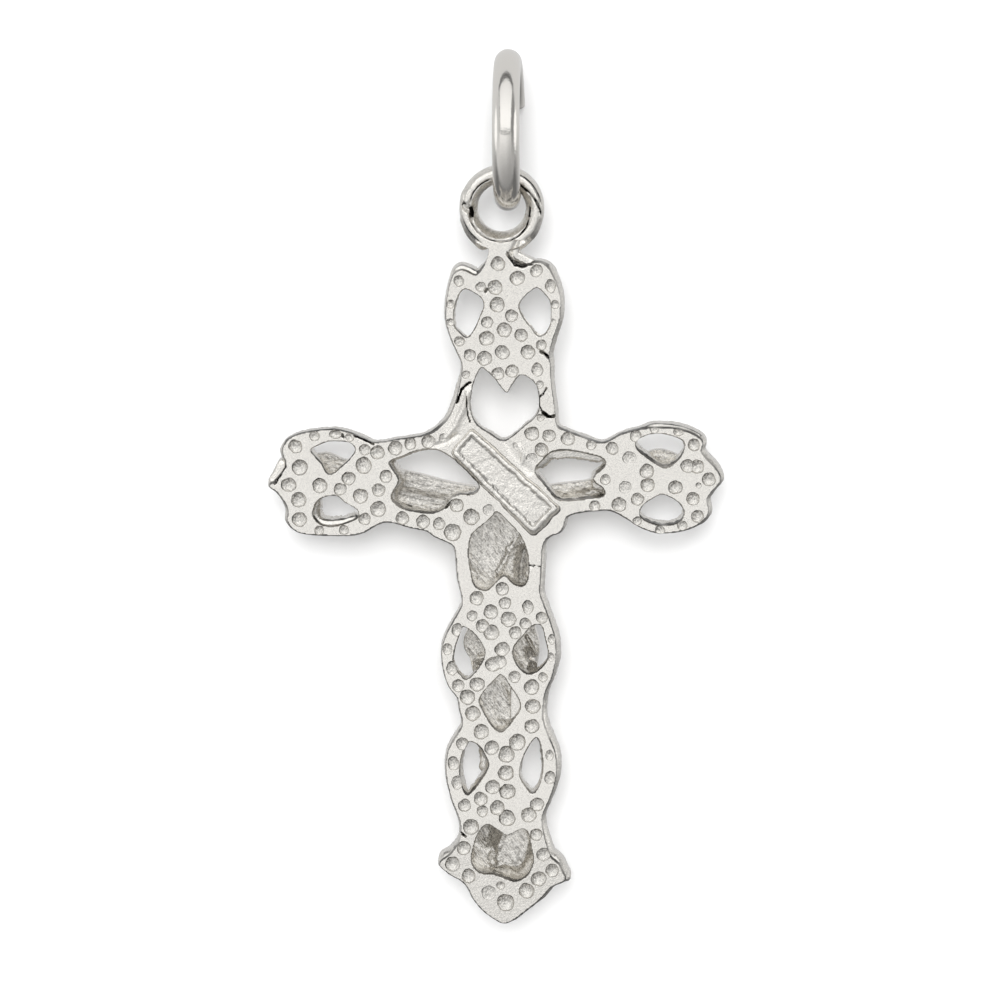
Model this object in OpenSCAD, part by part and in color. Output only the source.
// Cast crucifix charm, hanging by its eye from a round jump ring.
// X is to the right, Y runs from the back of the cross to its front, and Z is up.
// The origin is the inside top of the ring, where a chain or hook carries it.

/* [Jump ring] */
// Outer diameter of the ring
ring_od = 5.95; // [5.4:0.05:6.6]
// Diameter of its round wire
ring_wire = 1.05; // [0.8:0.05:1.1]

/* [Eye] */
// Outer diameter of the cast eye
eye_od = 3.2; // [3.1:0.05:3.6]
// Width of the eye's rim, seen from the front
eye_rim = 0.63; // [0.5:0.01:0.7]
// Thickness of the eye's rim, back to front
eye_t = 1.0; // [0.8:0.05:1.2]
// Room between the ring's wire and the top of the eye's hole
eye_play = 0.03; // [0.02:0.01:0.1]

/* [Cross] */
// Width across the arms
cross_w = 16.66; // [15:0.05:18.5]
// Height from the neck under the eye to the tip of the foot
cross_h = 25.2; // [23:0.05:28]
// Thickness of the pierced plate
plate_t = 1.2; // [1:0.05:1.6]

/* [Plaque] */
// Length of the bar set across the middle of the back
plaque_l = 4.4; // [4.2:0.05:4.6]
// Width of the bar
plaque_w = 1.3; // [1.1:0.05:1.4]
// How far it stands out of the back
plaque_rise = 0.25; // [0.15:0.05:0.4]
// How steeply it falls towards the right arm, in degrees
plaque_slope = 43; // [40:1:46]

/* [Figure] */
// How thick the figure's limbs and body are, against the charted ones
figure_girth = 1; // [0.9:0.02:1.1]
// How far the figure's flat back sits inside the plate
figure_seat = 0.15; // [0.1:0.01:0.3]

/* [Hidden] */
$fn = 48;

// Steps of the smooth curve between two charted points
curve_steps = 3;

// The ring is a circle in the plane x = 0, and the eye hangs on its lowest stretch
ring_r = (ring_od - ring_wire) / 2;
ring_z = ring_wire / 2 - ring_r;
wire_low_z = ring_z - ring_r;
eye_hole_r = eye_od / 2 - eye_rim;
eye_x = -0.1;
eye_z = wire_low_z + ring_wire / 2 + eye_play - eye_hole_r;

// Size at which the outlines below are charted
charted_w = 16.66;
charted_h = 25.2;
neck_z = -6.3;
spread_x = cross_w / charted_w;
spread_z = cross_h / charted_h;

back_y = -plate_t / 2;
front_y = plate_t / 2;
figure_back_y = front_y - figure_seat;
plaque_seat = 0.3;
plaque_x = 0.03;
plaque_z = -14.93;

// Outline of the cross as seen from the back, in rows of x and z, from the neck down the left side
neck_left = [[-0.54, -5.95], [-0.56, -6.35], [-0.65, -6.75], [-0.80, -7.08]];
top_left = [
    [-1.02, -7.31], [-1.28, -7.21], [-1.57, -7.11], [-1.83, -7.25], [-1.97, -7.58], [-2.08, -8.10],
    [-2.14, -8.62], [-2.11, -9.06], [-1.96, -9.62], [-1.72, -10.14], [-1.54, -10.56], [-1.57, -11.07],
    [-1.72, -11.82], [-1.98, -12.49], [-2.28, -12.87]];
left_arm_top = [
    [-2.69, -13.18], [-3.20, -13.31], [-3.87, -13.40], [-4.72, -13.53], [-5.13, -13.41], [-5.65, -13.18],
    [-6.28, -13.04], [-6.98, -13.10], [-7.57, -13.22], [-7.94, -13.41], [-8.17, -13.74]];
left_arm_end = [
    [-8.15, -14.04], [-8.05, -14.30], [-8.17, -14.60], [-8.48, -14.99], [-8.67, -15.15], [-8.43, -15.33],
    [-8.17, -15.63], [-7.98, -16.04], [-8.00, -16.45], [-7.76, -16.77]];
left_arm_foot = [
    [-7.35, -16.92], [-6.54, -16.96], [-5.72, -16.96], [-5.20, -16.84], [-4.76, -16.58], [-4.39, -16.46],
    [-3.98, -16.51], [-3.43, -16.67], [-2.87, -16.78], [-2.54, -17.01], [-2.13, -17.18], [-1.85, -17.36]];
left_side = [
    [-1.76, -17.79], [-1.69, -18.61], [-1.52, -19.43], [-1.69, -19.88], [-2.02, -20.46], [-2.24, -20.98],
    [-2.30, -21.45], [-2.22, -22.08], [-2.02, -22.64], [-1.72, -23.03], [-1.63, -23.50], [-1.52, -24.02],
    [-1.76, -24.49], [-2.04, -24.99], [-2.14, -25.63], [-2.07, -26.30], [-1.89, -26.97], [-1.65, -27.57],
    [-1.59, -28.09]];
foot_left = [
    [-1.72, -28.57], [-2.02, -28.95], [-2.30, -29.17], [-2.36, -29.36], [-2.02, -29.66], [-1.54, -29.94],
    [-1.31, -30.22], [-1.13, -30.59], [-0.80, -31.00], [-0.35, -31.35]];
foot_tip = [[0.00, -31.50]];
foot_right = [
    [0.39, -31.34], [0.87, -30.96], [1.35, -30.57], [1.72, -30.14], [2.09, -29.96], [2.28, -29.83],
    [2.19, -29.62], [2.02, -29.26], [1.72, -29.00], [1.57, -28.54]];
right_side = [
    [1.43, -27.94], [1.41, -27.46], [1.61, -26.97], [1.81, -26.45], [1.94, -25.81], [1.89, -25.10],
    [1.67, -24.54], [1.44, -23.87], [1.44, -23.28], [1.54, -22.75], [1.76, -22.23], [1.91, -21.56],
    [1.89, -20.85], [1.72, -20.25], [1.50, -19.66], [1.32, -19.10], [1.35, -18.39], [1.41, -17.38]];
right_arm_foot = [
    [1.65, -16.99], [2.06, -16.82], [2.22, -16.52], [2.31, -16.24], [2.80, -16.07], [3.46, -15.99],
    [3.94, -15.99], [4.43, -16.22], [5.02, -16.60], [5.69, -16.82], [6.43, -16.77], [6.94, -16.61],
    [7.35, -16.37]];
right_arm_end = [
    [7.55, -16.04], [7.49, -15.59], [7.69, -15.25], [7.99, -14.87], [7.85, -14.51], [7.50, -14.12],
    [7.27, -13.80], [7.33, -13.46]];
right_arm_top = [
    [7.06, -13.22], [6.50, -13.00], [5.76, -12.93], [5.02, -13.00], [4.35, -13.18], [3.83, -13.46],
    [3.46, -13.50], [2.94, -13.31], [2.28, -13.07], [1.94, -12.86]];
top_right = [
    [1.87, -12.27], [1.74, -11.34], [1.69, -10.59], [1.67, -10.14], [1.83, -9.54], [2.04, -8.91],
    [2.07, -8.16], [1.89, -7.53], [1.61, -7.01], [1.24, -6.80], [0.83, -6.95]];
neck_right = [[0.50, -6.93], [0.26, -6.62], [0.17, -6.35], [0.17, -5.95]];
outline = concat(
    neck_left, top_left, left_arm_top, left_arm_end, left_arm_foot, left_side, foot_left, foot_tip,
    foot_right, right_side, right_arm_foot, right_arm_end, right_arm_top, top_right, neck_right);

// Openings sawn through the plate, in rows of x and z
top_left_eye = [
    [-1.43, -7.79], [-1.09, -7.94], [-0.83, -8.13], [-0.73, -8.43], [-0.87, -8.80], [-1.02, -9.17],
    [-1.24, -9.53], [-1.43, -9.60], [-1.65, -9.41], [-1.83, -9.21], [-1.87, -8.84], [-1.81, -8.39],
    [-1.65, -7.98]];
top_right_eye = [
    [1.24, -7.74], [1.54, -8.01], [1.72, -8.28], [1.76, -8.76], [1.72, -9.13], [1.50, -9.47],
    [1.24, -9.53], [0.98, -9.21], [0.69, -8.84], [0.54, -8.46], [0.65, -8.18], [0.94, -7.90]];
heart_window = [
    [-0.85, -10.70], [-1.06, -11.07], [-1.20, -11.52], [-1.26, -12.01], [-1.20, -12.46], [-0.98, -12.87],
    [-0.54, -13.16], [-0.13, -13.43], [0.13, -13.39], [0.43, -13.18], [0.83, -12.83], [1.13, -12.59],
    [1.30, -12.27], [1.31, -11.86], [1.22, -11.37], [0.91, -11.06], [0.57, -10.98], [0.24, -11.42],
    [0.11, -11.63], [-0.05, -11.48], [-0.39, -11.04], [-0.65, -10.81]];
left_arm_upper_eye = [
    [-7.15, -13.76], [-6.87, -13.61], [-6.46, -13.46], [-5.72, -13.50], [-5.48, -13.80], [-5.72, -14.17],
    [-6.06, -14.47], [-6.31, -14.69], [-6.57, -14.66], [-6.78, -14.28], [-7.06, -13.97]];
left_arm_lower_eye = [
    [-7.09, -16.22], [-7.00, -15.83], [-6.76, -15.57], [-6.20, -15.48], [-5.87, -15.74], [-5.43, -16.00],
    [-5.39, -16.30], [-5.80, -16.52], [-6.39, -16.65], [-6.83, -16.56]];
left_slot = [
    [-4.24, -14.21], [-3.76, -14.00], [-3.20, -13.78], [-2.54, -13.74], [-2.06, -13.95], [-1.50, -14.40],
    [-0.91, -15.07], [-1.13, -15.42], [-1.65, -15.44], [-2.02, -15.63], [-2.19, -15.94], [-2.65, -16.15],
    [-3.39, -16.07], [-3.91, -15.89], [-4.19, -15.51], [-3.91, -14.92], [-4.17, -14.47]];
right_slot = [
    [1.13, -14.54], [1.46, -14.06], [1.83, -13.78], [2.43, -13.75], [3.09, -13.87], [3.61, -14.02],
    [3.76, -14.32], [3.30, -14.82], [3.69, -15.18], [3.69, -15.48], [3.09, -15.59], [2.35, -15.66],
    [1.94, -15.59], [1.50, -15.07]];
right_arm_upper_eye = [
    [4.85, -13.46], [5.09, -13.26], [5.61, -13.12], [6.20, -13.20], [6.65, -13.44], [6.61, -13.84],
    [6.31, -14.25], [5.94, -14.42], [5.61, -14.28], [5.20, -13.99], [4.93, -13.74]];
right_arm_lower_eye = [
    [5.00, -16.15], [5.13, -15.79], [5.50, -15.53], [5.83, -15.38], [6.24, -15.53], [6.57, -15.81],
    [6.66, -16.13], [6.43, -16.47], [5.87, -16.56], [5.31, -16.43]];
middle_window = [
    [-0.26, -16.04], [-0.47, -16.27], [-0.80, -16.55], [-1.20, -16.91], [-1.33, -17.57], [-1.24, -18.28],
    [-1.09, -18.85], [-0.65, -19.02], [-0.35, -18.78], [0.02, -18.46], [0.31, -18.74], [0.69, -18.85],
    [0.91, -18.50], [0.89, -17.68], [0.65, -16.99], [0.20, -16.47]];
upper_left_slot = [
    [-1.52, -20.35], [-1.17, -20.54], [-0.87, -20.89], [-0.69, -21.32], [-0.83, -21.75], [-1.17, -22.19],
    [-1.46, -22.34], [-1.76, -22.01], [-1.89, -21.60], [-1.81, -21.11], [-1.65, -20.63]];
upper_right_slot = [
    [0.98, -20.35], [1.37, -20.27], [1.54, -20.80], [1.65, -21.30], [1.57, -21.67], [1.24, -22.04],
    [0.91, -22.16], [0.54, -21.90], [0.33, -21.48], [0.37, -21.07], [0.69, -20.70]];
rhombus_window = [
    [-0.17, -22.16], [-0.43, -22.42], [-0.76, -22.79], [-0.94, -23.16], [-0.74, -23.61], [-0.50, -24.02],
    [-0.20, -24.30], [0.07, -24.21], [0.35, -23.84], [0.61, -23.43], [0.54, -23.01], [0.22, -22.55],
    [0.02, -22.23]];
lower_left_slot = [
    [-1.28, -24.64], [-0.91, -24.82], [-0.65, -25.24], [-0.56, -25.61], [-0.83, -26.09], [-1.13, -26.52],
    [-1.37, -26.69], [-1.56, -26.41], [-1.65, -25.81], [-1.59, -25.25], [-1.44, -24.84]];
lower_right_slot = [
    [1.20, -24.49], [1.35, -24.69], [1.44, -25.25], [1.44, -25.85], [1.31, -26.34], [1.06, -26.62],
    [0.78, -26.32], [0.56, -25.85], [0.69, -25.29], [0.93, -24.79]];
foot_heart = [
    [-0.63, -27.77], [-0.94, -28.05], [-1.13, -28.57], [-1.23, -29.17], [-0.94, -29.60], [-0.35, -29.67],
    [0.13, -29.87], [0.50, -29.92], [0.91, -29.66], [1.11, -29.13], [1.02, -28.61], [0.94, -28.13],
    [0.72, -27.94], [0.34, -28.07], [0.13, -28.18], [-0.05, -28.09], [-0.28, -27.94]];
openings = [
    top_left_eye, top_right_eye, heart_window, left_arm_upper_eye, left_arm_lower_eye, left_slot,
    right_slot, right_arm_upper_eye, right_arm_lower_eye, middle_window, upper_left_slot,
    upper_right_slot, rhombus_window, lower_left_slot, lower_right_slot, foot_heart];

// Figure on the front, in rows of x, y, z and radius along each limb
left_arm_limb = [
    [-1.25, 1.00, -15.95, 0.74], [-3.50, 0.90, -15.36, 0.64], [-5.30, 0.88, -14.76, 0.48],
    [-6.95, 0.85, -14.48, 0.42]];
right_arm_limb = [
    [1.25, 1.00, -15.95, 0.74], [3.30, 0.90, -15.50, 0.58], [4.85, 0.88, -14.62, 0.46],
    [6.35, 0.85, -14.42, 0.42]];
body_limb = [
    [0.00, 1.05, -16.30, 1.15], [0.00, 1.00, -18.20, 0.88], [0.00, 1.05, -19.60, 1.18],
    [-0.05, 1.10, -20.90, 1.25]];
left_leg_limb = [
    [-0.55, 1.15, -20.60, 0.72], [-0.62, 1.45, -22.10, 0.62], [-0.30, 1.10, -25.00, 0.40],
    [-0.18, 1.05, -27.20, 0.34]];
right_leg_limb = [
    [0.55, 1.15, -20.60, 0.72], [0.60, 1.45, -22.10, 0.60], [0.30, 1.10, -25.00, 0.40],
    [0.18, 1.05, -27.20, 0.34]];
left_foot_limb = [[-0.30, 1.05, -27.40, 0.42], [-0.48, 1.20, -29.10, 0.62]];
right_foot_limb = [[0.30, 1.05, -27.40, 0.42], [0.42, 1.20, -29.20, 0.66]];
limbs = [
    left_arm_limb, right_arm_limb, body_limb, left_leg_limb, right_leg_limb, left_foot_limb,
    right_foot_limb];
head = [0.10, 1.55, -14.62, 0.98];
neck = [[0.02, 1.15, -16.00, 0.50], [0.08, 1.40, -15.00, 0.46]];
footrest_size = [2.50, 0.95, 2.10];
footrest_x = -0.06;
footrest_top_z = -27.90;

// Smooth closed curve through the points p
function curve_point(a, b, c, d, t) =
    (2 * b + (c - a) * t + (2 * a - 5 * b + 4 * c - d) * t * t + (3 * b - a - 3 * c + d) * t * t * t) / 2;
function curve(p) = [
    for (i = [0 : len(p) - 1], s = [0 : curve_steps - 1])
        curve_point(
            p[(i + len(p) - 1) % len(p)], p[i], p[(i + 1) % len(p)], p[(i + 2) % len(p)], s / curve_steps)];

// Charted places carried over to the chosen width and height of the cross
function fitted_z(z) = neck_z + (z - neck_z) * spread_z;
function fitted(p) = [for (q = p) [q[0] * spread_x, fitted_z(q[1])]];

// Round limb through rows of x, y, z and radius, with a ball at each end and joint
module limb(rows) {
    places = [for (r = rows) [r[0] * spread_x, r[1], fitted_z(r[2])]];
    radii = [for (r = rows) r[3] * figure_girth];
    for (i = [0 : len(rows) - 1])
        translate(places[i])
            sphere(r = radii[i] * 1.01);
    for (i = [0 : len(rows) - 2]) {
        step = places[i + 1] - places[i];
        length = norm(step);
        translate(places[i])
            rotate([0, acos(step[2] / length), atan2(step[1], step[0])])
                cylinder(h = length, r1 = radii[i], r2 = radii[i + 1]);
    }
}

// Flat plate with all its openings
module pierced_plate() {
    rotate([90, 0, 0])
        linear_extrude(height = plate_t, center = true)
            difference() {
                polygon(curve(fitted(outline)));
                for (hole = openings)
                    polygon(curve(fitted(hole)));
            }
}

// Round eye in the plane of the plate, its rim an obround
module eye() {
    rim_r = eye_rim / 2;
    translate([eye_x, 0, eye_z])
        rotate([90, 0, 0])
            rotate_extrude()
                translate([eye_od / 2 - rim_r, 0]) {
                    square([eye_rim, eye_t - eye_rim], center = true);
                    for (side = [-1, 1])
                        translate([0, side * (eye_t / 2 - rim_r)])
                            circle(r = rim_r);
                }
}

// Bar raised from the back of the plate, set across the middle
module plaque() {
    translate([plaque_x, back_y + (plaque_seat - plaque_rise) / 2, fitted_z(plaque_z)])
        rotate([0, plaque_slope, 0])
            cube([plaque_l, plaque_rise + plaque_seat, plaque_w], center = true);
}

// Figure with outstretched arms, its back cut flat just inside the front of the plate
module figure() {
    room = [2 * cross_w, 10, 2 * cross_h];
    intersection() {
        union() {
            for (rows = limbs)
                limb(rows);
            limb(neck);
            limb([head]);
            translate([footrest_x - footrest_size[0] / 2, 0, fitted_z(footrest_top_z) - footrest_size[2]])
                cube([footrest_size[0], figure_back_y + footrest_size[1], footrest_size[2]]);
        }
        translate([-room[0] / 2, figure_back_y, -room[2]])
            cube(room);
    }
}

module crucifix() {
    color([0.80, 0.79, 0.76]) {
        pierced_plate();
        eye();
        plaque();
        figure();
    }
}

module jump_ring() {
    color([0.88, 0.88, 0.87])
        translate([0, 0, ring_z])
            rotate([0, 90, 0])
                rotate_extrude()
                    translate([ring_r, 0])
                        circle(d = ring_wire);
}

crucifix();
jump_ring();
